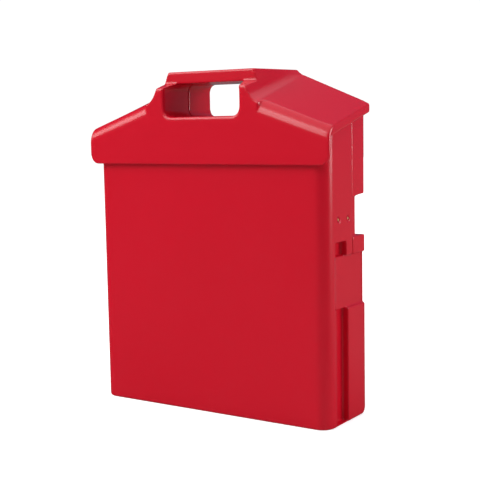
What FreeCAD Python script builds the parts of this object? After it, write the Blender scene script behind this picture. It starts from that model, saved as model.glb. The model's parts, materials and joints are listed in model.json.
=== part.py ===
"""Portable red fire alarm box: a flat-backed plastic case under a lift-off hood with a hand slot.

Millimetres. X runs across the front, Y from the front to the back, Z up.
The origin is the middle of the underside. depth(d) turns a distance behind
the front wall of the case into Y.
"""
import FreeCAD
import Part
import math
import os

V = FreeCAD.Vector

# ---- driving dimensions -------------------------------------------------
case_width = 280.0          # across the side walls
case_depth = 80.0           # front wall to back
wall = 3.0                  # moulded wall
corner_radius = 14.0        # upright front corners
bottom_radius = 2.5         # round under the case
heel_radius = 7.0           # round under its back
seam_depth = 53.0           # front wall to the upper case seam
back_plate = 3.0            # rear cover thickness
front_top = 283.0           # top of the front wall, hidden by the apron

hood_overhang = 6.0         # eaves beyond the side walls
apron_proud = 5.0           # apron ahead of the front wall
apron_bottom = 256.0
apron_corner = 10.0
hood_clearance = 0.5        # hood to case, all round
hood_wall = 3.0
eave_front = 290.5          # roof height at the eave, front and back
eave_back = 314.0
knee_low = 316.295          # where the slopes meet the grip's flanks, front and back
knee_high = 343.11
eave_depth = 9.0            # height of the eave's edge
front_round = 17.0          # round where the apron turns into the roof
ridge_height = 350.0
shoulder_front = 333.5      # top of the apron beside the grip
shoulder_back = 338.0
grip_setback = 13.0         # grip behind the front wall
grip_lean = 0.4             # how far its face leans back

slot_width = 92.0           # hand slot
slot_bottom = 304.0
slot_top = 338.0
slot_corner = 8.0
sleeve_wall = 3.0
sleeve_split = 40.0         # depth where the front and back sleeves meet
sleeve_gap = 0.3
gable_gap = 0.3             # hood's skin to the case's gable

guide_front = 18.0          # dock guide groove in both sides
guide_back = 42.5
guide_slope = 5.0           # its front wall slopes in over this depth
guide_bottom = 1.5
guide_top = 115.0
guide_depth = 7.0
catch_bottom = 167.0        # catch pocket above the groove
catch_top = 181.0
catch_front = 17.0
catch_back = 40.0
recess_depth = 3.0          # middle of the side wall behind the raised parts
notch_bottom = 184.0        # strap notch in the rear cover
notch_top = 223.0
notch_rise = 2.0            # its top edge climbs this much to the back
notch_front = 64.0
notch_width = 18.0
upper_inset = 1.0           # upper rear of each side, in from the side wall

contact_height = 203.0      # side contacts
contact_depths = (24.0, 43.5)
contact_radius = 1.65
contact_travel = 1.5
carrier_in = 112.0          # inner end of the contact carrier
carrier_reach = 7.0         # how far it runs past each contact
carrier_gap = 0.5           # carrier to the wall behind the notch
chamber_radius = 3.3
collar_x = 127.0            # collar on each pin
run_clearance = 0.05

post_x = 121.0              # screw posts
post_heights = (22.0, 142.0, 240.0)
post_radius = 4.5
screw_radius = 2.0
screw_length = 22.0
screw_head_radius = 4.0
screw_head_height = 2.4

battery_size = (151.0, 65.0, 94.0)
battery_pad = 4.0
battery_gap = 0.4
strap_thickness = 1.5
strap_width = 22.0

board_width = 196.0
board_height = 92.0
board_bottom = 126.0
board_thickness = 1.6
board_standoff = 15.0
board_inset = 6.0
standoff_radius = 4.0

deck_bottom = 262.0
deck_thickness = 3.0
deck_gap = 0.5
gasket_thickness = 1.5
ledge_width = 9.0
ledge_depth = 6.5
deck_screw_length = 9.0

button_x = -84.0            # alarm button on the deck
button_depth = 41.0
button_radius = 19.0
button_height = 8.0
button_travel = 4.0
button_stem = 5.0
spring_radius = 8.0         # button return spring, to its wire's centre
spring_wire = 0.55
collar_height = 11.0
key_x = 84.0                # reset key switch
key_radius = 9.0
button_head = 9.0           # thickness of its head
stem_low = 250.0            # lower end of its stem
barrel_radius = 5.5         # turning part of the key switch
lamp_x = 118.0
lamp_radius = 5.0
sounder_radius = 27.0
sounder_height = 24.0
sounder_depth = 40.0
grille_rim = 7.5            # outer ring of holes inside the flange's edge

bolt_travel = 8.0           # hood bolt
bolt_reach = 33.0           # half length
bolt_low = 290.0
bolt_thickness = 3.0
bolt_front = 19.2
bolt_back = 30.8
slide_gap = 0.2
keeper_x = 36.0
keeper_thickness = 3.0
magnet_x = -35.0
insert_x = 100.0            # wall inserts in the back
insert_low = 60.0
insert_high = 240.0
insert_bore = 2.5
insert_radius = 4.5
insert_length = 10.0

keeper_screw_depths = (18.0, 32.0)
tab_half = 4.0              # thumb tab of the bolt
tab_front = 21.0
tab_back = 29.0
tab_recess = 0.5            # its top, below the floor of the hand slot
deck_screw_radius = 1.5
small_screw = 1.5
contact_wire = 0.3          # contact spring's wire
bush_radius = 2.6
bush_shoulder = 3.2         # collar's front face to the bush, with the pin out
battery_front = 6.0         # battery behind the front wall
strap_foot = 88.0           # battery strap's feet
strap_depth = 40.0

# Flank of the grip: half width and fall below the ridge, apron's face and back.
flank_front = ((62.5, 30.0), (57.5, 23.5), (54.0, 15.0), (49.0, 0.0))
flank_back = ((71.0, 5.6), (68.0, 3.8), (65.5, 1.7), (64.0, 0.0))
knee_front = 69.0
knee_back = 75.0
foot_inset = 4.0            # the crown's foot, inside the knee
crown_foot = 301.0

# ---- derived sizes ------------------------------------------------------
half_width = case_width / 2.0
front_y = -(case_depth + apron_proud) / 2.0 + apron_proud
hood_half = half_width + hood_overhang
inside_x = half_width - wall
deck_top = deck_bottom + deck_thickness
ledge_height = deck_bottom - gasket_thickness
rake_front = (knee_low - eave_front) / (hood_half - knee_front)
rake_back = (knee_high - eave_back) / (hood_half - knee_back)
slope_factor = 1.08         # vertical thickness of the roof over its wall
shoulder_slope = (shoulder_back - shoulder_front) / (grip_setback + apron_proud)
far = 500.0


# ---- helpers ------------------------------------------------------------
def depth(d):
    """Y of a plane d behind the front wall."""
    return front_y + d


def block(x0, x1, d0, d1, z0, z1):
    """Box between two widths, two depths and two heights."""
    return Part.makeBox(x1 - x0, d1 - d0, z1 - z0, V(x0, depth(d0), z0))


def rod(x, d, z, radius, length, axis=V(0, 0, 1)):
    """Cylinder that starts at a point and runs along an axis."""
    return Part.makeCylinder(radius, length, V(x, depth(d), z), axis)


def prism(points, x0, x1):
    """Polygon of (depth, height) points drawn out across the width."""
    corners = [V(x0, depth(d), z) for d, z in points]
    face = Part.Face(Part.makePolygon(corners + corners[:1]))
    return face.extrude(V(x1 - x0, 0, 0))


def plan_prism(points, z0, z1):
    """Polygon of (x, depth) points drawn out upwards."""
    corners = [V(x, depth(d), z0) for x, d in points]
    face = Part.Face(Part.makePolygon(corners + corners[:1]))
    return face.extrude(V(0, 0, z1 - z0))


def mirrored(shape):
    """The same shape on the other side of the middle plane."""
    return shape.mirror(V(0, 0, 0), V(1, 0, 0))


def both(shape):
    """A shape and its mirror image, as a list."""
    return [shape, mirrored(shape)]


def fused(shapes):
    """One clean solid from several that touch."""
    result = shapes[0]
    for shape in shapes[1:]:
        result = result.fuse(shape)
    return result.removeSplitter()


def edges_along(shape, direction, test):
    """Straight edges along a direction whose middle passes a test."""
    found = []
    for edge in shape.Edges:
        if len(edge.Vertexes) != 2:
            continue
        run = edge.Vertexes[1].Point - edge.Vertexes[0].Point
        if run.Length < 1e-6 or abs(run.normalize().dot(direction)) < 0.999:
            continue
        if test(edge.CenterOfMass):
            found.append(edge)
    return found


def rounded_block(x0, x1, d0, d1, z0, z1, radius, direction):
    """Box with the four edges along one direction rounded."""
    body = block(x0, x1, d0, d1, z0, z1)
    return body.makeFillet(radius, edges_along(body, direction, lambda p: True))


def coil(radius, length, turns, wire_radius):
    """Helical spring that climbs from the origin's level; length runs between its wire's ends."""
    pitch = length / turns
    helix = Part.Wire(Part.makeHelix(pitch, length, radius).Edges)
    climb = math.atan2(pitch, 2 * math.pi * radius)
    section = Part.makeCircle(wire_radius, helix.Vertexes[0].Point, V(0, math.cos(climb), math.sin(climb)))
    return helix.makePipeShell([Part.Wire(section)], True, True)


def save(name, *shapes):
    """Write one node: a solid, or a group of separate solids."""
    solids = [solid for shape in shapes for solid in shape.Solids]
    whole = solids[0] if len(solids) == 1 else Part.makeCompound(solids)
    whole.exportStep("parts/" + name + ".step")


# ---- roof ---------------------------------------------------------------
def between(front, back, d):
    """Value that changes evenly from the apron's face to the back."""
    share = (d + apron_proud) / (case_depth + apron_proud)
    return front + (back - front) * share


def roof_height(x, d):
    """Height of the sloping roof above a point."""
    eave = between(eave_front, eave_back, d)
    return eave + between(rake_front, rake_back, d) * (hood_half - abs(x))


def closed_loft(d0, d1, outline):
    """Solid between two outlines with straight rulings from front to back."""
    wires = []
    for d in (d0, d1):
        right, curved = outline(d)
        ends = [V(x, depth(d), z) for x, z in right]
        bend = [V(x, depth(d), z) for x, z in curved]
        edges = []
        for sign in (1, -1):
            line = [V(sign * p.x, p.y, p.z) for p in ends]
            edges += [Part.makeLine(a, b) for a, b in zip(line, line[1:])]
            if bend:
                curve = Part.BSplineCurve()
                curve.interpolate([V(sign * p.x, p.y, p.z) for p in bend])
                edges.append(curve.toShape())
        top = bend[-1] if bend else ends[-1]
        for p in (ends[0], top):
            if abs(p.x) > 1e-6:
                edges.append(Part.makeLine(p, V(-p.x, p.y, p.z)))
        wires.append(Part.Wire(Part.__sortEdges__(edges)))
    return Part.makeLoft(wires, True, True)


def slopes(d0, d1, inset, reach, drop):
    """Solid under the two roof slopes; drop is the height of its side below the eave."""
    def outline(d):
        low = between(eave_front, eave_back, d) - drop
        edge = roof_height(reach, d) - inset * slope_factor
        middle = between(knee_front, knee_back, d) - foot_inset
        top = roof_height(middle, d) - inset * slope_factor
        return [(reach, low), (reach, edge), (middle, top)], []
    return closed_loft(d0, d1, outline)


def crown(d0, d1, inset):
    """Raised middle of the hood with its hollow flanks."""
    def outline(d):
        bend = []
        for front, back in zip(flank_front, flank_back):
            x = between(front[0], back[0], d) - inset
            fall = between(front[1], back[1], d)
            bend.append((x, ridge_height - fall - inset))
        knee = between(knee_front, knee_back, d) - inset
        bend.insert(0, (knee, roof_height(knee, d) - inset * slope_factor))
        return [(knee - foot_inset, crown_foot), bend[0]], bend
    return closed_loft(d0, d1, outline)


def front_edge_cutter(inset, front):
    """What lies outside the round between the apron's face and the right slope."""
    radius = front_round - inset
    knee = 40.0
    slope = math.atan((roof_height(knee, case_depth) - roof_height(knee, 0)) / case_depth)
    turn = math.pi / 2 - slope
    down = radius * math.tan(turn / 2)
    tip = V(0, depth(front), roof_height(0, front) - inset * slope_factor)
    low = tip - V(0, 0, down)
    high = tip + V(0, down * math.cos(slope), down * math.sin(slope))
    centre = low + V(0, radius, 0)
    middle = centre + V(0, -math.cos(turn / 2), math.sin(turn / 2)) * radius
    ahead = V(0, -2, 0)
    above = V(0, -math.sin(slope), math.cos(slope)) * 2
    corners = [high, high + above, tip + ahead + above, low + ahead, low]
    edges = [Part.Arc(low, middle, high).toShape()]
    edges += [Part.makeLine(a, b) for a, b in zip(corners, corners[1:])]
    run = hood_half + 5
    return Part.Face(Part.Wire(edges)).extrude(V(run, 0, -rake_front * run))


def rounded_slopes(d0, d1, inset, reach, drop):
    """Slopes whose front edge is rounded out to both eaves."""
    solid = slopes(d0, d1, inset, reach, drop)
    right = solid.common(block(0, far, -20, case_depth + 20, 150, 400))
    right = right.cut(front_edge_cutter(inset, d0))
    return fused(both(right))


def hood_space(gap, d1):
    """Room inside the hood, gap away from its inner skin."""
    low = rounded_slopes(-hood_clearance + gap, d1, hood_wall + gap, half_width + hood_clearance - gap, 60)
    high = crown(grip_setback + hood_wall + gap, d1, hood_wall + gap)
    return low.fuse(high)


# ---- casing -------------------------------------------------------------
def case_block(inset, top):
    """Outer or inner block of the case with its rounded corners."""
    reach = half_width - inset
    body = block(-reach, reach, inset, case_depth - inset, inset, top)
    upright = edges_along(body, V(0, 0, 1), lambda p: p.y < 0)
    body = body.makeFillet(corner_radius - inset, upright)
    if inset:
        return body
    body = body.makeFillet(heel_radius, [edge for edge in level_edges(body) if edge.BoundBox.YMin > 0])
    return body.makeFillet(bottom_radius, [edge for edge in level_edges(body) if edge.BoundBox.YMin < 0])


def level_edges(body):
    """Edges that lie at the underside's level."""
    return [edge for edge in body.Edges if edge.BoundBox.ZMax < 0.01]


def front_region():
    """Space that belongs to the front shell: the rear cover is the rest."""
    upper = block(-far, far, -10, seam_depth, -10, far)
    lower = block(-far, far, -10, case_depth - back_plate, -10, catch_bottom)
    return upper.fuse(lower)


def side_recesses():
    """What the right side wall gives up for its grooves, pocket, recess and notch."""
    wide = half_width + 20
    floor_x = half_width - guide_depth
    recess_x = half_width - recess_depth
    groove = [(half_width, guide_front), (floor_x, guide_front + guide_slope), (floor_x, guide_back),
              (wide, guide_back), (wide, guide_front)]
    cuts = [plan_prism(groove, guide_bottom, guide_top),
            block(floor_x, wide, catch_front, catch_back, catch_bottom, catch_top)]
    ramp = [(half_width, corner_radius + 0.5), (recess_x, corner_radius + 9), (recess_x, case_depth + 5),
            (wide, case_depth + 5), (wide, corner_radius + 0.5)]
    cuts.append(plan_prism(ramp, guide_top, catch_bottom))
    back = case_depth + 5
    ceiling = notch_top + notch_rise * (back - seam_depth) / (case_depth - seam_depth)
    profile = [(seam_depth, notch_bottom), (back, notch_bottom), (back, ceiling), (seam_depth, notch_top)]
    notch = prism(profile, half_width - notch_width, wide)
    cuts.append(notch.cut(block(0, recess_x, 0, notch_front, 0, far)))
    cuts.append(block(half_width - upper_inset, wide, seam_depth, case_depth + 5, notch_top - 1, 400))
    return cuts


def side_backing():
    """Walls behind the right side's grooves, so that it stays one skin."""
    floor_x = half_width - guide_depth
    inner = floor_x - wall
    skin = half_width - wall + 0.5
    lap_start = contact_depths[1] + carrier_reach + carrier_gap
    parts = [block(inner, skin, guide_front - wall, guide_back + wall, wall - 0.5, guide_top + wall),
             block(inner, skin, catch_front - wall, catch_back + wall, catch_bottom - wall, catch_top + wall),
             block(inside_x - recess_depth, skin, corner_radius, case_depth - wall / 2,
                   guide_top - 1, catch_bottom + wall),
             block(inside_x - recess_depth, skin, lap_start, notch_front,
                   notch_bottom - wall, notch_top + notch_rise + wall),
             block(half_width - notch_width - wall, skin, notch_front - wall, case_depth - wall / 2,
                   notch_bottom - wall, notch_top + notch_rise + wall)]
    return parts


def whole_case():
    """Case with both halves still in one piece, before the top is trimmed."""
    shell = case_block(0, 340).cut(case_block(wall, 345))
    shell = shell.fuse(both_all(side_backing()))
    outside = case_block(0, 340)
    shell = shell.common(outside).cut(both_all(side_recesses()))
    ledge = block(-inside_x - 1, inside_x + 1, wall - 1, case_depth - wall + 1,
                  ledge_height - ledge_depth, ledge_height)
    hole = block(-inside_x + ledge_width, inside_x - ledge_width, wall + ledge_width,
                 case_depth - wall - ledge_width, 200, 300)
    ledge = ledge.cut(hole).common(outside)
    shell = shell.fuse(ledge)
    for x, d in deck_screw_places():
        hole = rod(x, d, ledge_height - ledge_depth - 0.5, deck_screw_radius + run_clearance, ledge_depth + 1)
        shell = shell.cut(hole)
    for d in contact_depths:
        shell = shell.cut(rod(half_width - wall - 1, d, contact_height, bush_radius + run_clearance,
                              wall + 2, V(1, 0, 0)))
    return shell


def both_all(shapes):
    """Shapes and their mirror images."""
    return [piece for shape in shapes for piece in both(shape)]


def top_trim():
    """What is taken off the top of the case so that the hood sits over it."""
    under = hood_wall * slope_factor + gable_gap
    curve = front_round - hood_wall
    points = [(-30, front_top), (wall, front_top)]
    for share in (0.25, 0.4, 0.6, 0.8, 1.0):
        d = share * curve
        fall = curve - math.sqrt(curve * curve - (curve - d) ** 2)
        points.append((d, roof_height(half_width, d) - under - fall))
    points.append((case_depth + 5, roof_height(half_width, case_depth + 5) - under))
    points += [(case_depth + 5, 400), (-30, 400)]
    return prism(points, -far, far)


def post_places():
    """Width and height of each screw post."""
    return [(sign * post_x, z) for z in post_heights for sign in (-1, 1)]


def deck_screw_places():
    """Width and depth of each deck screw."""
    x = inside_x - ledge_width / 2
    return [(sign * x, d) for d in (20.0, 62.0) for sign in (-1, 1)]


def board_screw_places():
    """Width and height of each board screw."""
    x = board_width / 2 - board_inset
    heights = (board_bottom + board_inset, board_bottom + board_height - board_inset)
    return [(sign * x, z) for z in heights for sign in (-1, 1)]


def strap_screw_places():
    """Width of each strap screw: the strap's middle gives the depth."""
    return [sign * strap_foot for sign in (-1, 1)]


def make_body_shell(case):
    """Front shell with its posts, standoffs and battery ribs."""
    back = V(0, 1, 0)
    shell = case.common(front_region()).cut(top_trim())
    inner_back = case_depth - back_plate
    added = []
    for x, z in post_places():
        added.append(rod(x, wall - 1, z, post_radius, inner_back - wall + 1, back))
    for x, z in board_screw_places():
        added.append(rod(x, wall - 1, z, standoff_radius, board_standoff + 1, back))
    rib_in = battery_size[0] / 2 + battery_gap
    added += both(block(rib_in, rib_in + 2, wall - 1, 60, wall - 1, 30))
    added += both(rod(strap_foot, strap_depth, wall - 1, 5, 7))
    shell = shell.fuse(added)
    drilled = []
    for x, z in post_places():
        start = case_depth - screw_length - 1
        drilled.append(rod(x, start, z, screw_radius + run_clearance, 40, back))
    for x, z in board_screw_places():
        drilled.append(rod(x, wall + 3, z, small_screw + run_clearance, 30, back))
    for x in strap_screw_places():
        drilled.append(rod(x, strap_depth, wall + 1, small_screw + run_clearance, 8))
    return shell.cut(drilled).removeSplitter()


def make_rear_cover(case):
    """Back plate, upper side walls, gable and the back half of the hand sleeve."""
    back = V(0, 1, 0)
    cover = case.cut(front_region()).cut(top_trim())
    plate = case_depth - back_plate
    edge = half_width - upper_inset
    gable = hood_space(gable_gap, case_depth).common(block(-edge, edge, plate, case_depth, ledge_height, 400))
    sleeve = hand_sleeve(sleeve_split, case_depth)
    cover = cover.fuse([gable, sleeve]).cut(hand_slot())
    cover = cover.fuse(insert_bosses(insert_radius + 2.5, plate - 9, 10))
    cover = cover.cut(insert_bosses(insert_radius, case_depth - insert_length, insert_length + 1))
    for x, z in post_places():
        cover = cover.cut(rod(x, plate - 1, z, screw_radius + 0.2, 10, back))
        cover = cover.cut(rod(x, case_depth - screw_head_height - 0.1, z, screw_head_radius + 0.3, 10, back))
    return cover.removeSplitter()


def insert_bosses(radius, start, length):
    """Four cylinders where the wall inserts are."""
    return [rod(sign * insert_x, start, z, radius, length, V(0, 1, 0))
            for z in (insert_low, insert_high) for sign in (-1, 1)]


def hand_slot():
    """Opening of the hand slot, right through."""
    half = slot_width / 2
    return rounded_block(-half, half, -30, case_depth + 30, slot_bottom, slot_top, slot_corner, V(0, 1, 0))


def hand_sleeve(d0, d1):
    """Wall around the hand slot between two depths."""
    half = slot_width / 2 + sleeve_wall
    outer = rounded_block(-half, half, d0, d1, slot_bottom - sleeve_wall, slot_top + sleeve_wall,
                          slot_corner + sleeve_wall, V(0, 1, 0))
    return outer.cut(hand_slot())


def make_hood():
    """Roof, apron and grip in one moulding, with the front half of the hand sleeve."""
    solid = rounded_slopes(-apron_proud, case_depth, 0, hood_half, 60)
    solid = solid.fuse(crown(-apron_proud, case_depth, 0))
    apron = block(-hood_half, hood_half, -apron_proud - 1, -hood_clearance, apron_bottom, 400)
    lower = edges_along(apron, V(0, 1, 0), lambda p: p.z < apron_bottom + 1)
    apron = apron.makeFillet(apron_corner, lower)
    kept = apron.fuse([slopes(-apron_proud, case_depth, 0, hood_half, eave_depth),
                       crown(-apron_proud, case_depth, 0)])
    hood = solid.common(kept).cut(hood_space(0, case_depth + 1))
    hood = hood.fuse(hand_sleeve(-apron_proud, sleeve_split - sleeve_gap))
    ahead = [(-20, shoulder_front - 15 * shoulder_slope), (grip_setback, shoulder_back),
             (grip_setback + grip_lean, ridge_height + 5), (-20, ridge_height + 5)]
    hood = hood.cut([hand_slot(), prism(ahead, -85, 85)])
    guide = block(-30, 30, bolt_front - wall, bolt_back + wall, bolt_low - wall, slot_bottom - 1)
    channel = block(-40, 40, bolt_front - slide_gap, bolt_back + slide_gap, bolt_low - slide_gap,
                    bolt_low + bolt_thickness + slide_gap)
    window = block(-tab_half - 0.5, tab_half + bolt_travel + 0.5, tab_front - slide_gap, tab_back + slide_gap,
                   bolt_low, slot_bottom + 1)
    return hood.fuse(guide).cut([channel, window]).removeSplitter()


# ---- fasteners ----------------------------------------------------------
def screw(x, d, z, radius, length, head_radius, head_height, axis):
    """Screw with a cross recess; the point is the underside of its head, axis points to the tip."""
    seat = V(x, depth(d), z)
    shank = Part.makeCylinder(radius, length, seat, axis)
    head = Part.makeCylinder(head_radius, head_height, seat - axis * head_height, axis)
    body = shank.fuse(head).removeSplitter()
    top = seat - axis * head_height
    side = V(1, 0, 0) if abs(axis.x) < 0.5 else V(0, 1, 0)
    other = axis.cross(side)
    for long, short in ((side, other), (other, side)):
        a = long * head_radius * 0.55
        b = short * head_radius * 0.14
        corners = [top + a + b, top - a + b, top - a - b, top + a - b]
        slot = Part.Face(Part.makePolygon(corners + corners[:1])).extrude(axis * head_height * 0.5)
        body = body.cut(slot)
    return body


def make_fasteners():
    """Every group of screws and the threaded inserts in the back."""
    ahead = V(0, -1, 0)
    down = V(0, 0, -1)
    seat = case_depth - screw_head_height - 0.1
    save("case_screws", *[screw(x, seat, z, screw_radius, screw_length - screw_head_height, screw_head_radius,
                                screw_head_height, ahead) for x, z in post_places()])
    save("deck_screws", *[screw(x, d, deck_top, deck_screw_radius, deck_screw_length, 3, 1.8, down)
                          for x, d in deck_screw_places()])
    board_back = wall + board_standoff + board_thickness
    save("board_screws", *[screw(x, board_back, z, small_screw, 9, 2.8, 1.6, ahead)
                           for x, z in board_screw_places()])
    foot_top = wall + 6 + strap_thickness
    save("strap_screws", *[screw(x, strap_depth, foot_top, small_screw, 6, 3, 1.8, down)
                           for x in strap_screw_places()])
    keeper_top = deck_top + 2
    save("keeper_screws", *[screw(keeper_x + 9, d, keeper_top, small_screw, 4.5, 2.6, 1.5, down)
                            for d in keeper_screw_depths])
    inserts = []
    for outer, bore in zip(insert_bosses(insert_radius - 0.02, case_depth - insert_length, insert_length),
                           insert_bosses(insert_bore, case_depth - insert_length, insert_length)):
        inserts.append(outer.cut(bore))
    save("wall_inserts", *inserts)


# ---- battery ------------------------------------------------------------
def make_battery():
    """Sealed battery on its pad, held down by a steel strap."""
    length, deep, high = battery_size
    low = wall + battery_pad
    front = battery_front
    half = length / 2
    save("battery_pad", block(-half + 5, half - 5, front + 3, front + deep - 3, wall, low))
    body = block(-half, half, front, front + deep, low, low + high)
    body = body.makeFillet(2, edges_along(body, V(0, 0, 1), lambda p: True))
    groove = block(-half - 1, half + 1, front - 1, front + deep + 1, low + high - 9, low + high - 8)
    keep = block(-half + 0.6, half - 0.6, front + 0.6, front + deep - 0.6, low, low + high)
    save("battery", body.cut(groove.cut(keep)))
    tabs = []
    for sign in (-1, 1):
        x = sign * (half - 12)
        foot = block(x - 4, x + 4, front + deep - 14, front + deep - 6, low + high, low + high + 1)
        blade = block(x - 0.4, x + 0.4, front + deep - 13, front + deep - 7, low + high + 1, low + high + 7)
        tabs.append(foot.fuse(blade).removeSplitter())
    save("battery_terminals", *tabs)
    top = low + high + 0.3
    reach = half + battery_gap + 2.3
    d0 = strap_depth - strap_width / 2
    d1 = strap_depth + strap_width / 2
    outer = reach + strap_thickness
    strap = block(-outer, outer, d0, d1, wall + 6, top + strap_thickness)
    strap = strap.cut(block(-reach, reach, d0 - 1, d1 + 1, 0, top))
    foot = block(outer - 1, strap_foot + 7, d0, d1, wall + 6, wall + 6 + strap_thickness)
    strap = strap.fuse(both(foot))
    for x in strap_screw_places():
        strap = strap.cut(rod(x, strap_depth, wall, small_screw + 0.2, 20))
    save("battery_strap", strap.removeSplitter())


# ---- control board ------------------------------------------------------
def make_board():
    """Control board and what is soldered to its back."""
    d0 = wall + board_standoff
    d1 = d0 + board_thickness
    half = board_width / 2
    top = board_bottom + board_height
    board = rounded_block(-half, half, d0, d1, board_bottom, top, 3, V(0, 1, 0))
    for x, z in board_screw_places():
        board = board.cut(rod(x, d0 - 1, z, small_screw + 0.2, 5, V(0, 1, 0)))
    save("control_board", board)
    relays = []
    for k in range(2):
        x = -80 + 24 * k
        relays.append(rounded_block(x, x + 19, d1, d1 + 15.5, board_bottom + 30, board_bottom + 45,
                                    1, V(0, 1, 0)))
    save("alarm_relays", *relays)
    blocks = []
    for k in range(4):
        x = -84 + 22 * k
        piece = block(x, x + 20, d1, d1 + 12, board_bottom + 2, board_bottom + 12)
        for j in range(4):
            piece = piece.cut(rod(x + 2.5 + 5 * j, d1 + 6, board_bottom + 7, 1.8, 8, V(0, 1, 0)))
        blocks.append(piece)
    save("terminal_blocks", *blocks)
    chip = block(-12, 2, d1, d1 + 1.6, board_bottom + 52, board_bottom + 66)
    save("logic_chip", chip.makeChamfer(0.3, chip.Edges[:1]))
    can = rounded_block(40, 66, d1, d1 + 3.2, board_bottom + 56, board_bottom + 82, 1, V(0, 1, 0))
    save("radio_module", can)
    aerial = rod(80, d1 + 3, board_bottom + 70, 1.4, 52)
    base = rod(80, d1, board_bottom + 74, 3, 6, V(0, 1, 0))
    save("radio_antenna", base.fuse(aerial).removeSplitter())
    cans = []
    for k, radius in enumerate((8, 5, 5)):
        body = rod(26 + 17 * k, d1, board_bottom + 24, radius, 20 - 5 * min(k, 1), V(0, 1, 0))
        edge = [e for e in body.Edges if abs(e.BoundBox.YMax - body.BoundBox.YMax) < 0.01
                and abs(e.BoundBox.YMin - body.BoundBox.YMax) < 0.01]
        cans.append(body.makeFillet(0.8, edge[:1]))
    save("capacitors", *cans)
    fuse_z = board_bottom + 80
    axis = V(1, 0, 0)
    save("supply_fuse", rod(-70, d1 + 5, fuse_z, 2.5, 20, axis))
    clips = []
    for x in (-69, -56):
        holder = block(x, x + 5, d1, d1 + 8.5, fuse_z - 3.6, fuse_z + 3.6)
        clips.append(holder.cut([rod(x - 1, d1 + 5, fuse_z, 2.52, 8, axis),
                                 block(x - 1, x + 6, d1 + 5, d1 + 9, fuse_z - 1.9, fuse_z + 1.9)]))
    save("fuse_clips", *clips)


# ---- deck and controls --------------------------------------------------
def make_deck():
    """Deck that closes the case under the hood, and its gasket."""
    reach = inside_x - deck_gap
    deck = block(-reach, reach, wall + deck_gap, case_depth - wall - deck_gap, deck_bottom, deck_top)
    corners = edges_along(deck, V(0, 0, 1), lambda p: p.y < 0)
    deck = deck.makeFillet(corner_radius - wall, corners)
    ring = deck.copy()
    ring.translate(V(0, 0, -gasket_thickness))
    ring = ring.common(block(-far, far, -10, 200, ledge_height, deck_bottom))
    ring = ring.cut(block(-reach + ledge_width - 1, reach - ledge_width + 1, wall + ledge_width,
                          case_depth - wall - ledge_width, 200, 300))
    for x, d in deck_screw_places():
        hole = rod(x, d, ledge_height - 1, deck_screw_radius + 0.2, 10)
        deck = deck.cut(hole)
        ring = ring.cut(hole)
    low = deck_bottom - 1
    holes = [rod(button_x, button_depth, low, button_stem + run_clearance + 0.03, 6),
             rod(key_x, button_depth, low, key_radius + 0.1, 6),
             rod(lamp_x, button_depth, low, lamp_radius + 0.1, 6),
             rod(0, sounder_depth, low, sounder_radius - 4 + 0.2, 6)]
    holes += [rod(keeper_x + 9, d, low, small_screw + run_clearance, 6) for d in keeper_screw_depths]
    save("control_deck", deck.cut(holes))
    save("deck_gasket", ring)


def make_alarm_button():
    """Alarm button in its collar, with its return spring and switch."""
    head_low = deck_top + button_height
    ring = rod(button_x, button_depth, deck_top, button_radius + 5, collar_height)
    ring = ring.cut(rod(button_x, button_depth, deck_top - 1, button_radius + 0.5, collar_height + 2))
    ring = ring.makeChamfer(1.5, [e for e in ring.Edges if e.Length > 6.2 * (button_radius + 4.9)
                                  and e.BoundBox.ZMin > deck_top + 1])
    save("button_collar", ring)
    head = rod(button_x, button_depth, head_low, button_radius, button_head)
    top = [e for e in head.Edges if e.BoundBox.ZMin > head_low + button_head - 0.1]
    head = head.makeFillet(3, top)
    stem = rod(button_x, button_depth, stem_low, button_stem, head_low - stem_low + 1)
    save("alarm_button", head.fuse(stem).removeSplitter())
    spring_length = button_height - 0.4
    spring = coil(spring_radius, spring_length - 2 * spring_wire, 3, spring_wire)
    spring.translate(V(button_x, depth(button_depth), deck_top + 0.2 + spring_wire))
    save("button_spring", spring)
    switch = block(button_x - 12, button_x + 12, button_depth - 10, button_depth + 10,
                   stem_low - 12, deck_bottom)
    well = rod(button_x, button_depth, stem_low - button_travel - 0.5, button_stem + 0.6, 40)
    save("button_switch", switch.cut(well))


def make_key_switch():
    """Reset key switch: body, nut and turning barrel."""
    body = rod(key_x, button_depth, deck_bottom - 20, key_radius, 20 + deck_thickness)
    bezel = rod(key_x, button_depth, deck_top, key_radius + 3, 3)
    bore = rod(key_x, button_depth, deck_bottom - 14, barrel_radius + run_clearance, 40)
    save("key_switch_body", body.fuse(bezel).cut(bore).removeSplitter())
    nut = rod(key_x, button_depth, deck_bottom - 6, key_radius + 4, 6)
    flats = block(key_x - 30, key_x + 30, button_depth - 30, button_depth + 30, 200, 300)
    flats = flats.cut(block(key_x - 11.5, key_x + 11.5, button_depth - 11.5, button_depth + 11.5, 200, 300))
    nut = nut.cut([rod(key_x, button_depth, 200, key_radius + run_clearance, 100), flats])
    save("key_switch_nut", nut)
    barrel = rod(key_x, button_depth, deck_bottom - 14, barrel_radius, 14 + deck_thickness + 4.5)
    slot = block(key_x - 0.6, key_x + 0.6, button_depth - 3.5, button_depth + 3.5, deck_top, deck_top + 20)
    save("key_barrel", barrel.cut(slot))


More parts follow.
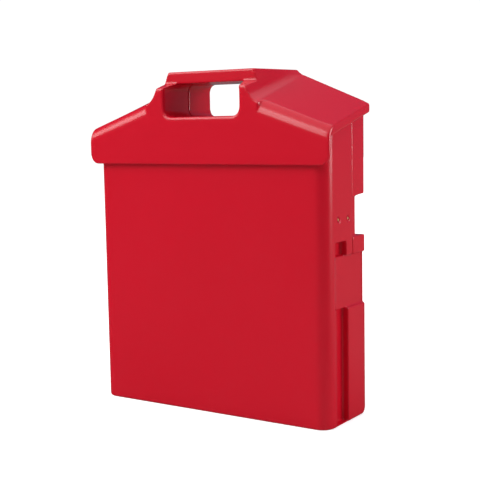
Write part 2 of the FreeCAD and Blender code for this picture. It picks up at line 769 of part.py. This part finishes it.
def make_lamp():
    """Status lamp: a lens in a holder."""
    holder = rod(lamp_x, button_depth, deck_bottom - 12, lamp_radius, 12 + deck_thickness)
    rim = rod(lamp_x, button_depth, deck_top, lamp_radius + 2, 1.5)
    bore = rod(lamp_x, button_depth, deck_bottom - 4, lamp_radius - 1.5, 40)
    save("lamp_holder", holder.fuse(rim).cut(bore).removeSplitter())
    stem = rod(lamp_x, button_depth, deck_bottom - 4, lamp_radius - 1.55, 8.5)
    dome = Part.makeSphere(lamp_radius - 1.55, V(lamp_x, depth(button_depth), deck_bottom + 4.5))
    save("lamp_lens", stem.fuse(dome).removeSplitter())


def make_sounder():
    """Sounder set in the deck: cup, magnet, diaphragm and grille."""
    cup_radius = sounder_radius - 4
    low = deck_top - sounder_height
    cup = rod(0, sounder_depth, low, cup_radius, sounder_height)
    flange = rod(0, sounder_depth, deck_top, sounder_radius, 2)
    hollow = rod(0, sounder_depth, low + 2, cup_radius - 2, 40)
    save("sounder_body", cup.fuse(flange).cut(hollow).removeSplitter())
    magnet = rod(0, sounder_depth, low + 2, 13, 10)
    save("sounder_magnet", magnet.fuse(rod(0, sounder_depth, low + 11, 7, 4)).removeSplitter())
    outer = Part.makeCone(8, cup_radius - 2.05, 6, V(0, depth(sounder_depth), deck_top - 6))
    inner = Part.makeCone(7.2, cup_radius - 2.9, 6, V(0, depth(sounder_depth), deck_top - 5.2))
    cone = outer.cut(inner)
    save("sounder_cone", cone)
    grille = rod(0, sounder_depth, deck_top + 2, sounder_radius - 1, 2)
    holes = [rod(0, sounder_depth, deck_top, 2, 9)]
    for ring in (1, 2, 3):
        for k in range(6 * ring):
            angle = 2 * math.pi * k / (6 * ring)
            out = ring * (sounder_radius - grille_rim) / 3
            holes.append(rod(out * math.cos(angle), sounder_depth + out * math.sin(angle), deck_top, 2, 9))
    save("sounder_grille", grille.cut(holes))


# ---- hood bolt ----------------------------------------------------------
def make_bolt():
    """Sliding bolt that locks the hood to the deck, its keeper and the hood sensor."""
    top = bolt_low + bolt_thickness
    bar = block(-bolt_reach, bolt_reach, bolt_front, bolt_back, bolt_low, top)
    tab = block(-tab_half, tab_half, tab_front, tab_back, top - 1, slot_bottom - tab_recess)
    save("hood_bolt", bar.fuse(tab).removeSplitter())
    keeper = block(keeper_x, keeper_x + keeper_thickness, 14, 36, deck_top, top + 5.5)
    foot = block(keeper_x, keeper_x + 15, 14, 36, deck_top, deck_top + 2)
    keeper = keeper.fuse(foot)
    keeper = keeper.cut(block(keeper_x - 1, keeper_x + 4, bolt_front - 0.5, bolt_back + 0.5,
                              bolt_low - 0.5, top + 0.5))
    for d in keeper_screw_depths:
        keeper = keeper.cut(rod(keeper_x + 9, d, deck_top - 1, small_screw + 0.2, 9))
    save("bolt_keeper", keeper.removeSplitter())
    sleeve_low = slot_bottom - sleeve_wall
    save("hood_magnet", block(magnet_x - 5, magnet_x + 5, 22, 28, sleeve_low - 3, sleeve_low))
    sensor = block(magnet_x - 7, magnet_x + 7, 20, 30, deck_top, deck_top + 6)
    save("reed_switch", sensor.makeFillet(1, edges_along(sensor, V(1, 0, 0), lambda p: p.z > deck_top + 1)))


# ---- side contacts ------------------------------------------------------
def make_contacts():
    """Two sprung contact pins in the right side wall, with their bushes and carrier."""
    out = V(1, 0, 0)
    face = half_width - 0.2
    carrier_out = inside_x - 0.5
    carrier = block(carrier_in, carrier_out,
                    contact_depths[0] - carrier_reach, contact_depths[1] + carrier_reach,
                    contact_height - 7, contact_height + 7)
    pad = block(carrier_out - 1, inside_x, contact_depths[0] - 5, contact_depths[1] + 5,
                contact_height - 5, contact_height + 5)
    carrier = carrier.fuse(pad)
    bushes = []
    springs = []
    for name, d in zip(("front", "rear"), contact_depths):
        place = (d, contact_height)
        bush_in = collar_x + bush_shoulder
        carrier = carrier.cut([rod(carrier_in + 3, *place, chamber_radius, bush_in - carrier_in - 3, out),
                               rod(bush_in, *place, bush_radius + run_clearance, 40, out),
                               rod(carrier_in - 1, *place, contact_radius + run_clearance, 10, out)])
        bush = rod(bush_in, *place, bush_radius, face - bush_in, out)
        bushes.append(bush.cut(rod(collar_x, *place, contact_radius + run_clearance, 40, out)))
        pin = rod(carrier_in + 1, *place, contact_radius, half_width - 0.6 - carrier_in - 1, out)
        collar = rod(collar_x, *place, chamber_radius - 0.5, 2, out)
        tip = [e for e in pin.Edges if e.BoundBox.XMin > half_width - 1]
        pin = pin.makeFillet(0.8, tip)
        save("contact_pin_" + name, pin.fuse(collar).removeSplitter())
        length = collar_x - contact_travel - 0.3 - carrier_in - 3.2
        spring = coil(contact_radius + 0.75, length - 2 * contact_wire, 6, contact_wire)
        spring.rotate(V(0, 0, 0), V(0, 1, 0), 90)
        spring.translate(V(carrier_in + 3.3 + contact_wire, depth(d), contact_height))
        springs.append(spring)
    save("contact_carrier", carrier.removeSplitter())
    save("contact_bushes", *bushes)
    save("contact_springs", *springs)


# ---- build --------------------------------------------------------------
def main():
    """Write every node."""
    os.makedirs("parts", exist_ok=True)
    case = whole_case()
    save("body_shell", make_body_shell(case))
    save("rear_cover", make_rear_cover(case))
    save("hood", make_hood())
    make_fasteners()
    make_battery()
    make_board()
    make_deck()
    make_alarm_button()
    make_key_switch()
    make_lamp()
    make_sounder()
    make_bolt()
    make_contacts()


main()
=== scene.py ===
"""Looks of the fire alarm box: moulded red shells, plated and moulded small parts, studio and camera.

Metres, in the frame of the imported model: X right, Y to the back, Z up.
"""
import json
import math

import bmesh
import bpy
import numpy as np
from mathutils import Matrix, Vector


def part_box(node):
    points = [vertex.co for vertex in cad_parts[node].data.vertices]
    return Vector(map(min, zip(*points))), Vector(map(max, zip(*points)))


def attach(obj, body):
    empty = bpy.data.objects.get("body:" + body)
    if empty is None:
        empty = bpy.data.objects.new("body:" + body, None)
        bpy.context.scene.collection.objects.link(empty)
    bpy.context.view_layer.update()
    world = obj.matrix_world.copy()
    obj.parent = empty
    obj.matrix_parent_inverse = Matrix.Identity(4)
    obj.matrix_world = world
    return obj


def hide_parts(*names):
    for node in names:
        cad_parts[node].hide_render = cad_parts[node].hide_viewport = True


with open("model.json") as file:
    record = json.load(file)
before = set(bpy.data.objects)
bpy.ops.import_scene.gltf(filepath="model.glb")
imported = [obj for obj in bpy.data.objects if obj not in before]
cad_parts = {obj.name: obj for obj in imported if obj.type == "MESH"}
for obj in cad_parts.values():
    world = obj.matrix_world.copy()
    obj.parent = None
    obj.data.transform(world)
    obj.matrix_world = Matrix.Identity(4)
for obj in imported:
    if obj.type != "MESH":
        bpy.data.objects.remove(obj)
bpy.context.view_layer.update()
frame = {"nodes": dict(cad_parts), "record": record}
MM = 0.001

# ---- places read from the frame ------------------------------------------
case_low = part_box("body_shell")[0]
hood_low, hood_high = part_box("hood")
FRONT_Y = case_low.y                    # front wall of the case
APRON_Y = hood_low.y
HOOD_HALF = hood_high.x
SEAM_Y = FRONT_Y + 53 * MM              # parting seam of the upper case
SLOT_HALF = 46 * MM                     # hand slot
SLOT_LOW = 304 * MM

# ---- how the moulded shells are rounded -------------------------------------
VOXEL = 0.9 * MM
EAVE_BAND = 7 * MM                      # eave's edge, in from the hood's side
SEAM_BAND = 1.2 * MM                    # full smoothing to either side of the seam
SEAM_FADE = 1.5 * MM
SEAM_BOTTOM = 160 * MM                  # the seam is only in the upper case
MOUTH_DEEP = 5 * MM                     # full smoothing behind the apron's face
MOUTH_WIDE = 6 * MM                     # and past the slot's sides and bottom
FADE = 4 * MM


# ---- node helpers ---------------------------------------------------------
class Graph:
    """Short way to write a material's nodes."""

    def __init__(self, name):
        self.material = bpy.data.materials.new(name)
        self.material.use_nodes = True
        self.tree = self.material.node_tree
        self.shader = self.tree.nodes["Principled BSDF"]
        self.place = self.add("ShaderNodeTexCoord").outputs["Object"]

    def add(self, kind, **settings):
        node = self.tree.nodes.new(kind)
        for key, value in settings.items():
            setattr(node, key, value)
        return node

    def link(self, source, target):
        self.tree.links.new(source, target)

    def noise(self, scale, detail=3.0, rough=0.5, stretch=None):
        """Noise in metres: scale is cycles per metre."""
        place = self.place
        if stretch:
            mapping = self.add("ShaderNodeMapping")
            mapping.inputs["Scale"].default_value = stretch
            self.link(place, mapping.inputs["Vector"])
            place = mapping.outputs["Vector"]
        node = self.add("ShaderNodeTexNoise")
        node.inputs["Scale"].default_value = scale
        node.inputs["Detail"].default_value = detail
        node.inputs["Roughness"].default_value = rough
        self.link(place, node.inputs["Vector"])
        return node.outputs["Fac"]

    def ramp(self, source, stops):
        """Colour ramp through (place, colour or grey) stops."""
        node = self.add("ShaderNodeValToRGB")
        elements = node.color_ramp.elements
        for k, (place, colour) in enumerate(stops):
            element = elements[k] if k < 2 else elements.new(place)
            element.position = place
            if isinstance(colour, (int, float)):
                colour = (colour, colour, colour)
            element.color = (*colour[:3], 1)
        self.link(source, node.inputs["Fac"])
        return node.outputs["Color"]

    def span(self, source, low, high, out_low, out_high):
        """Value carried from one range to another, held at the ends."""
        node = self.add("ShaderNodeMapRange")
        node.inputs["From Min"].default_value = low
        node.inputs["From Max"].default_value = high
        node.inputs["To Min"].default_value = out_low
        node.inputs["To Max"].default_value = out_high
        self.link(source, node.inputs["Value"])
        return node.outputs["Result"]

    def bump(self, height, strength, distance):
        node = self.add("ShaderNodeBump")
        node.inputs["Strength"].default_value = strength
        node.inputs["Distance"].default_value = distance
        self.link(height, node.inputs["Height"])
        return node.outputs["Normal"]

    def set(self, **values):
        for key, value in values.items():
            self.shader.inputs[key.replace("_", " ")].default_value = value


def moulded(name, dark, light, rough, gloss=0.5, grain=1.0):
    """Moulded plastic: slow colour drift, satin skin with fine mould texture.

    The red shells' roughness stays under 0.27: where it crosses that, the render shows faint lines.
    """
    g = Graph(name)
    drift = g.noise(9.0, 4.0)
    g.link(g.ramp(drift, [(0.0, dark), (1.0, light)]), g.shader.inputs["Base Color"])
    patch = g.noise(14.0, 2.0)
    g.link(g.span(patch, 0.0, 1.0, rough - 0.02, rough + 0.02), g.shader.inputs["Roughness"])
    skin = g.noise(1500.0, 2.0)
    g.link(g.bump(skin, 0.08 * grain, 0.00005), g.shader.inputs["Normal"])
    g.set(Specular_IOR_Level=gloss)
    return g.material


def metal(name, dark, light, rough, brushed=None):
    """Plated or turned metal with fine tool marks."""
    g = Graph(name)
    drift = g.noise(60.0, 4.0)
    g.link(g.ramp(drift, [(0.3, dark), (0.7, light)]), g.shader.inputs["Base Color"])
    marks = g.noise(900.0, 3.0, 0.6, brushed or (1, 1, 1))
    g.link(g.span(marks, 0.3, 0.7, rough - 0.06, rough + 0.1), g.shader.inputs["Roughness"])
    g.link(g.bump(marks, 0.15, 0.00004), g.shader.inputs["Normal"])
    g.set(Metallic=1.0)
    return g.material


def clear(name, tint, rough):
    """Clear or tinted lens."""
    g = Graph(name)
    drift = g.noise(400.0, 2.0)
    g.link(g.ramp(drift, [(0.3, tint), (0.7, [min(1, c * 1.1) for c in tint])]),
           g.shader.inputs["Base Color"])
    g.link(g.span(drift, 0.3, 0.7, rough, rough + 0.05), g.shader.inputs["Roughness"])
    g.set(Transmission_Weight=0.75, IOR=1.49)
    return g.material


def circuit(name):
    """Board with solder mask and copper tracks under it."""
    g = Graph(name)
    tracks = g.add("ShaderNodeTexBrick", offset=0.5, squash=0.6)
    turn = g.add("ShaderNodeMapping")
    turn.inputs["Rotation"].default_value = (math.pi / 2, 0, 0)
    g.link(g.place, turn.inputs["Vector"])
    g.link(turn.outputs["Vector"], tracks.inputs["Vector"])
    tracks.inputs["Scale"].default_value = 190.0
    tracks.inputs["Mortar Size"].default_value = 0.03
    tracks.inputs["Color1"].default_value = (0.006, 0.085, 0.035, 1)
    tracks.inputs["Color2"].default_value = (0.008, 0.10, 0.04, 1)
    tracks.inputs["Mortar"].default_value = (0.02, 0.20, 0.08, 1)
    g.link(tracks.outputs["Color"], g.shader.inputs["Base Color"])
    g.link(g.span(g.noise(700.0), 0.3, 0.7, 0.25, 0.38), g.shader.inputs["Roughness"])
    g.link(g.bump(tracks.outputs["Fac"], 0.3, 0.00005), g.shader.inputs["Normal"])
    return g.material


# ---- materials --------------------------------------------------------------
red = moulded("red_plastic", (0.515, 0.0022, 0.0135), (0.545, 0.0028, 0.0165), 0.245, 0.42)
looks = {
    "red_plastic": red,
    "steel": metal("zinc_plate", (0.55, 0.56, 0.58), (0.66, 0.67, 0.69), 0.30, (1, 1, 6)),
    "brass": metal("brass", (0.72, 0.50, 0.21), (0.82, 0.60, 0.28), 0.36),
    "deck_plastic": moulded("deck_plastic", (0.045, 0.045, 0.05), (0.06, 0.06, 0.066), 0.46, grain=3.0),
    "black_plastic": moulded("black_plastic", (0.016, 0.016, 0.018), (0.026, 0.026, 0.028), 0.42, grain=2.0),
    "gasket_rubber": moulded("gasket_rubber", (0.018, 0.018, 0.018), (0.03, 0.03, 0.03), 0.75, 0.3, 4.0),
    "board_green": circuit("circuit_board"),
    "terminal_plastic": moulded("terminal_plastic", (0.02, 0.18, 0.05), (0.03, 0.22, 0.07), 0.4, grain=2.0),
    "plated_metal": metal("nickel_plate", (0.62, 0.61, 0.58), (0.74, 0.73, 0.70), 0.20),
    "button_plastic": moulded("button_plastic", (0.62, 0.012, 0.012), (0.70, 0.02, 0.018), 0.22, 0.6, 0.6),
    "lamp_glass": clear("lamp_glass", (0.25, 0.85, 0.40), 0.06),
    "cone_film": moulded("cone_film", (0.30, 0.22, 0.08), (0.40, 0.30, 0.12), 0.35, grain=1.0),
}


def dress(piece, material):
    piece.data.materials.clear()
    piece.data.materials.append(material)


def dress_cad_nodes():
    """Every carried-over node gets its slot's procedural material."""
    for row in frame["record"]["subparts"]:
        dress(frame["nodes"][row["node"]], looks[row["material_slot"]])


# ---- moulded shells -----------------------------------------------------------
def soften(name, rounds):
    """A shell remade from its CAD node with moulded, rounded edges.

    Each round is a count and a function that gives every point's share of the smoothing.
    """
    node = frame["nodes"][name]
    mesh = node.data.copy()
    piece = bpy.data.objects.new(name + "_moulded", mesh)
    bpy.context.scene.collection.objects.link(piece)
    work = bmesh.new()
    work.from_mesh(mesh)
    bmesh.ops.remove_doubles(work, verts=work.verts, dist=1e-6)
    work.to_mesh(mesh)
    work.free()
    remesh = piece.modifiers.new("remesh", "REMESH")
    remesh.mode = "VOXEL"
    remesh.voxel_size = VOXEL
    apply_modifiers(piece)
    for count, share in rounds:
        points = points_of(piece)
        group = piece.vertex_groups.new(name="soft")
        values = np.clip(share(points), 0, 1)
        add_weights(group, values)
        smooth = piece.modifiers.new("smooth", "SMOOTH")
        smooth.factor = 0.5
        smooth.iterations = count
        smooth.vertex_group = group.name
        apply_modifiers(piece)
        piece.vertex_groups.clear()
    return piece


def points_of(piece):
    flat = np.empty(len(piece.data.vertices) * 3)
    piece.data.vertices.foreach_get("co", flat)
    return flat.reshape(-1, 3)


def add_weights(group, values):
    """Weights in twenty steps, which is fine enough for smoothing."""
    steps = np.round(values * 20).astype(int)
    for step in range(1, 21):
        chosen = np.nonzero(steps == step)[0].tolist()
        if chosen:
            group.add(chosen, step / 20, "REPLACE")


def apply_modifiers(piece):
    bpy.context.view_layer.update()
    done = bpy.data.meshes.new_from_object(piece.evaluated_get(bpy.context.evaluated_depsgraph_get()))
    piece.modifiers.clear()
    old = piece.data
    piece.data = done
    bpy.data.meshes.remove(old)


def everywhere(points):
    return np.ones(len(points))


def eaves(points):
    """Smooths the eave's edge more than the rest."""
    reach = np.abs(points[:, 0])
    return np.clip((reach - (HOOD_HALF - EAVE_BAND)) / FADE, 0, 1)


def seam(points):
    """Rounds both shells where they meet, so the parting seam shows as a fine groove."""
    near = 1 - (np.abs(points[:, 1] - SEAM_Y) - SEAM_BAND) / SEAM_FADE
    return np.clip(near, 0, 1) * (points[:, 2] > SEAM_BOTTOM)


def mouth(points):
    """Rolls the hand slot's mouth out into the apron's face."""
    near = 1 - (points[:, 1] - APRON_Y - MOUTH_DEEP) / FADE
    inside = 1 - (np.abs(points[:, 0]) - SLOT_HALF - MOUTH_WIDE) / FADE
    level = 1 - (SLOT_LOW - MOUTH_WIDE - points[:, 2]) / FADE
    return np.clip(near, 0, 1) * np.clip(inside, 0, 1) * np.clip(level, 0, 1)


def finish_shell(piece, name, body):
    for face in piece.data.polygons:
        face.use_smooth = True
    dress(piece, red)
    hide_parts(name)
    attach(piece, body)


def make_shells():
    """The three red shells, each smoothed a little everywhere and more where it is rounder."""
    for name, body, rounds in (("body_shell", "case", [(4, everywhere), (14, seam)]),
                               ("rear_cover", "case", [(4, everywhere), (14, seam)]),
                               ("hood", "hood", [(5, everywhere), (25, eaves), (45, mouth)])):
        finish_shell(soften(name, rounds), name, body)


# ---- stage ---------------------------------------------------------------------
def floor_material():
    """Pale floor. It looks white to the camera and stays dim in the gloss, dimmer in front than behind."""
    g = Graph("floor_white")
    g.link(g.ramp(g.noise(3.0), [(0.3, (0.72, 0.72, 0.72)), (0.7, (0.725, 0.725, 0.725))]),
           g.shader.inputs["Base Color"])
    g.set(Roughness=0.8, Specular_IOR_Level=0.1)
    path = g.add("ShaderNodeLightPath")
    parts = g.add("ShaderNodeSeparateXYZ")
    g.link(g.place, parts.inputs["Vector"])
    far = g.add("ShaderNodeVectorMath", operation="LENGTH")
    g.link(g.place, far.inputs[0])
    glow = g.span(far.outputs["Value"], 0.5, 2.2, 0.6, 1.0)
    seen = g.add("ShaderNodeMath", operation="MULTIPLY")
    g.link(glow, seen.inputs[0])
    g.link(path.outputs["Is Camera Ray"], seen.inputs[1])
    g.shader.inputs["Emission Color"].default_value = (1, 1, 1, 1)
    g.link(seen.outputs["Value"], g.shader.inputs["Emission Strength"])
    dim = g.add("ShaderNodeEmission")
    dim.inputs["Color"].default_value = (0.9, 0.92, 1.0, 1)
    g.link(g.span(parts.outputs["Y"], -0.15, 0.3, 0.03, 0.24), dim.inputs["Strength"])
    mix = g.add("ShaderNodeMixShader")
    g.link(path.outputs["Is Glossy Ray"], mix.inputs["Fac"])
    g.link(g.shader.outputs["BSDF"], mix.inputs[1])
    g.link(dim.outputs["Emission"], mix.inputs[2])
    g.link(mix.outputs["Shader"], g.tree.nodes["Material Output"].inputs["Surface"])
    return g.material


def make_floor():
    """Plain pale floor."""
    bpy.ops.mesh.primitive_plane_add(size=14)
    floor = bpy.context.object
    floor.name = "floor"
    dress(floor, floor_material())


def area_light(name, azimuth, elevation, distance, width, height, power, colour=(1, 1, 1)):
    """Softbox aimed at the middle of the box; azimuth 0 is in front, 90 to the right."""
    middle = Vector((0, 0, 0.18))
    a = math.radians(azimuth)
    e = math.radians(elevation)
    place = middle + distance * Vector((math.sin(a) * math.cos(e), -math.cos(a) * math.cos(e), math.sin(e)))
    data = bpy.data.lights.new(name, "AREA")
    data.shape = "RECTANGLE"
    data.size = width
    data.size_y = height
    data.energy = power
    data.color = colour
    lamp = bpy.data.objects.new(name, data)
    bpy.context.scene.collection.objects.link(lamp)
    lamp.location = place
    lamp.rotation_euler = (middle - place).to_track_quat("-Z", "Y").to_euler()


def make_world():
    """White backdrop; the gloss sees a dim room, darkest round the camera and cooler overhead."""
    world = bpy.data.worlds.new("studio")
    bpy.context.scene.world = world
    world.use_nodes = True
    nodes = world.node_tree.nodes
    links = world.node_tree.links

    def mapped(source, low, high, out_low, out_high):
        node = nodes.new("ShaderNodeMapRange")
        for name, value in zip(("From Min", "From Max", "To Min", "To Max"), (low, high, out_low, out_high)):
            node.inputs[name].default_value = value
        links.new(source, node.inputs["Value"])
        return node.outputs["Result"]

    def mixed(share, first, second):
        node = nodes.new("ShaderNodeMix")
        node.data_type = "FLOAT"
        links.new(share, node.inputs["Factor"])
        for socket, value in zip(node.inputs[2:4], (first, second)):
            if isinstance(value, float):
                socket.default_value = value
            else:
                links.new(value, socket)
        return node.outputs["Result"]

    path = nodes.new("ShaderNodeLightPath")
    direction = nodes.new("ShaderNodeTexCoord").outputs["Generated"]

    def facing(axis, low, high, strength):
        """Light from round one direction."""
        towards = nodes.new("ShaderNodeVectorMath")
        towards.operation = "DOT_PRODUCT"
        towards.inputs[1].default_value = axis
        links.new(direction, towards.inputs[0])
        return mapped(towards.outputs["Value"], low, high, 0.0, strength)

    behind = facing((0.55, 0.83, 0.0), 0.2, 0.9, 0.13)
    above = facing((-0.1, 0.45, 0.88), 0.5, 0.95, 0.09)
    room = nodes.new("ShaderNodeMath")
    room.operation = "ADD"
    links.new(behind, room.inputs[0])
    links.new(above, room.inputs[1])
    lit = nodes.new("ShaderNodeMath")
    lit.operation = "ADD"
    links.new(room.outputs["Value"], lit.inputs[0])
    lit.inputs[1].default_value = 0.025
    dim = mixed(path.outputs["Is Glossy Ray"], 0.22, lit.outputs["Value"])
    links.new(mixed(path.outputs["Is Camera Ray"], dim, 1.05), nodes["Background"].inputs["Strength"])
    tint = nodes.new("ShaderNodeMix")
    tint.data_type = "RGBA"
    tint.inputs[6].default_value = (1, 1, 1, 1)
    tint.inputs[7].default_value = (0.85, 0.9, 1.5, 1)
    links.new(path.outputs["Is Glossy Ray"], tint.inputs["Factor"])
    links.new(tint.outputs[2], nodes["Background"].inputs["Color"])


def make_lights():
    area_light("key_left", -42, 36, 2.0, 1.9, 1.2, 37)
    area_light("right_side", 116, 12, 2.0, 0.8, 0.8, 21)
    area_light("top_soft", 10, 84, 2.4, 4.0, 4.0, 60, (0.9, 0.93, 1.0))


def make_camera():
    """Camera to the right of the front, a little above the middle of the box."""
    azimuth = math.radians(33.54)
    elevation = math.radians(6.45)
    roll = math.radians(1.03)
    place = Vector((0.6023, -0.8825, 0.2961))
    ahead = Vector((-math.sin(azimuth) * math.cos(elevation), math.cos(azimuth) * math.cos(elevation),
                    -math.sin(elevation)))
    right = Vector((math.cos(azimuth), math.sin(azimuth), 0))
    down = ahead.cross(right)
    turned_right = right * math.cos(roll) + down * math.sin(roll)
    turned_down = down * math.cos(roll) - right * math.sin(roll)
    data = bpy.data.cameras.new("camera")
    data.lens = 77.19
    data.sensor_width = 36.0
    data.clip_start = 0.01
    camera = bpy.data.objects.new("camera", data)
    bpy.context.scene.collection.objects.link(camera)
    columns = (turned_right, -turned_down, -ahead)
    camera.matrix_world = Matrix.Translation(place) @ Matrix(columns).transposed().to_4x4()
    bpy.context.scene.camera = camera


make_camera()
dress_cad_nodes()
make_shells()
make_floor()
make_lights()
make_world()
bpy.context.scene.view_settings.view_transform = "Standard"
